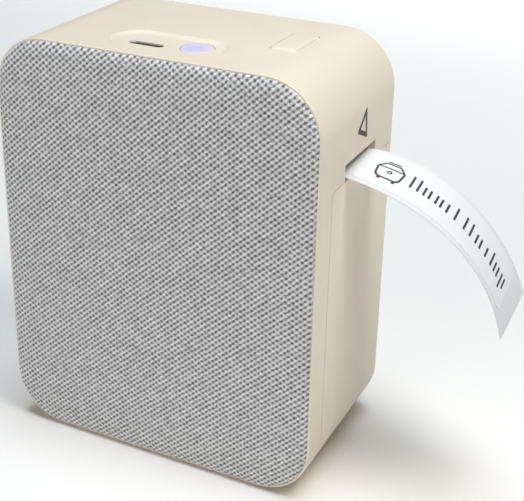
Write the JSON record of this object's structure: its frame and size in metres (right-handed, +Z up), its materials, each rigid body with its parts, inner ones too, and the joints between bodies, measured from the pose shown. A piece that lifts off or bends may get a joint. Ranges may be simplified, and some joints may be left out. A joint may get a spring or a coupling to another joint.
{
  "type": "label maker",
  "caption": "Pocket label printer: upright rounded box with a fabric front, cutter button and round light button on top, side label slot and a wrap-around tape door.",
  "frame": {"origin": "centre of the flat base, midway between the flanks and between the front lip and the rear face", "axes": "+Z up, -Y is the fabric front, +X is the flank that the label comes out of"},
  "size_m": [0.1171, 0.0456, 0.1004],
  "materials": {
    "cream_shell": "satin moulded ABS, cream",
    "grille_fabric": "coarse woven melange cloth, light grey on dark grey",
    "dark_plastic": "moulded, fine texture",
    "inner_plastic": "moulded ABS",
    "gear_plastic": "acetal",
    "light_lens": "translucent lens, lit lavender",
    "steel": "bright",
    "aluminium": "satin",
    "head_ceramic": "glazed ceramic",
    "circuit_board": "solder mask",
    "battery_wrap": "shrink film",
    "wire_sleeve": "insulation",
    "platen_rubber": "ground rubber",
    "label_tape": "coated thermal paper on a slick liner",
    "core_board": "pressed cardboard"
  },
  "bodies": {
    "root": {"main_housing": "cream_shell", "door_hinge_pin": "steel", "front_plate": "dark_plastic", "grille_cloth": "grille_fabric", "power_switch": "steel", "usb_socket": "steel", "usb_tongue": "dark_plastic", "top_board": "circuit_board", "cutter_spring": "steel", "button_guide": "inner_plastic", "lever_pin": "steel", "cutter_anvil": "steel", "chassis": "inner_plastic", "mechanism_bracket": "steel", "tape_guide": "gear_plastic", "front_bushing": "gear_plastic", "rear_bushing": "gear_plastic", "idler_pin_1": "steel", "idler_pin_2": "steel", "stepper_motor": "aluminium", "head_pivot_pin": "steel", "head_spring": "steel", "main_board": "circuit_board", "battery": "battery_wrap", "gap_sensor": "dark_plastic", "battery_leads": "wire_sleeve", "motor_leads": "wire_sleeve", "roll_spindle": "gear_plastic", "tape_run": "label_tape", "label_strip": "label_tape", "chassis_screw_1": "steel", "chassis_screw_2": "steel", "chassis_screw_3": "steel"},
    "tape_door": {"tape_door": "cream_shell"},
    "power_button": {"power_button": "light_lens"},
    "cutter_button": {"cutter_button": "cream_shell"},
    "cutter_lever": {"cutter_lever": "gear_plastic"},
    "cutter_blade": {"blade_carriage": "gear_plastic", "cutter_blade": "steel"},
    "label_roll": {"label_roll": "label_tape", "roll_core": "core_board"},
    "platen": {"platen_roller": "platen_rubber", "platen_shaft": "steel", "platen_gear": "gear_plastic"},
    "idler_1": {"idler_gear_1": "gear_plastic"},
    "idler_2": {"idler_gear_2": "gear_plastic"},
    "motor_rotor": {"motor_pinion": "steel", "motor_shaft": "steel"},
    "print_head": {"print_head": "head_ceramic", "head_heatsink": "aluminium"}
  },
  "joints": [
    {"name": "tape_door_hinge", "type": "hinge", "parent": "root", "child": "tape_door", "pos_m": [-0.022, 0.0204, 0.038], "axis": [0, 0, 1], "range_deg": [0, 95]},
    {"name": "power_button_press", "type": "slide", "parent": "root", "child": "power_button", "axis": [0, 0, -1], "range_m": [0, 0.0006], "stiffness_N_per_m": 600, "springref_m": -0.0008},
    {"name": "cutter_button_press", "type": "slide", "parent": "root", "child": "cutter_button", "axis": [0, 0, -1], "range_m": [0, 0.00255], "stiffness_N_per_m": 900, "springref_m": -0.0022, "deforming": ["cutter_spring"]},
    {"name": "cutter_lever_turn", "type": "hinge", "parent": "root", "child": "cutter_lever", "pos_m": [0.014, 0, 0.09], "axis": [0, 1, 0], "range_deg": [0, 16.3]},
    {"name": "cutter_blade_drop", "type": "slide", "parent": "root", "child": "cutter_blade", "axis": [0, 0, -1], "range_m": [0, 0.0051]},
    {"name": "label_roll_spin", "type": "hinge", "parent": "root", "child": "label_roll", "pos_m": [0.011, 0, 0.033], "axis": [0, 1, 0], "continuous": true},
    {"name": "platen_spin", "type": "hinge", "parent": "root", "child": "platen", "pos_m": [0.027, 0, 0.0716], "axis": [0, 1, 0], "continuous": true},
    {"name": "idler_1_spin", "type": "hinge", "parent": "root", "child": "idler_1", "pos_m": [0.01522, 0, 0.0784], "axis": [0, 1, 0], "continuous": true},
    {"name": "idler_2_spin", "type": "hinge", "parent": "root", "child": "idler_2", "pos_m": [0.0002, 0, 0.07998], "axis": [0, 1, 0], "continuous": true},
    {"name": "motor_spin", "type": "hinge", "parent": "root", "child": "motor_rotor", "pos_m": [-0.01023, 0, 0.07814], "axis": [0, 1, 0], "continuous": true},
    {"name": "print_head_pivot", "type": "hinge", "parent": "root", "child": "print_head", "pos_m": [0.0216, 0, 0.0812], "axis": [0, -1, 0], "range_deg": [0, 4], "stiffness_Nm_per_rad": 0.3, "springref_deg": -2.86}
  ],
  "couplings": [
    {"joint": "cutter_lever_turn", "follows": "cutter_button_press", "rad_per_m": 111.56},
    {"joint": "cutter_blade_drop", "follows": "cutter_button_press", "ratio": 2},
    {"joint": "platen_spin", "follows": "label_roll_spin", "ratio": 5},
    {"joint": "idler_1_spin", "follows": "label_roll_spin", "ratio": -4},
    {"joint": "idler_2_spin", "follows": "label_roll_spin", "ratio": 4},
    {"joint": "motor_spin", "follows": "label_roll_spin", "ratio": -10}
  ]
}
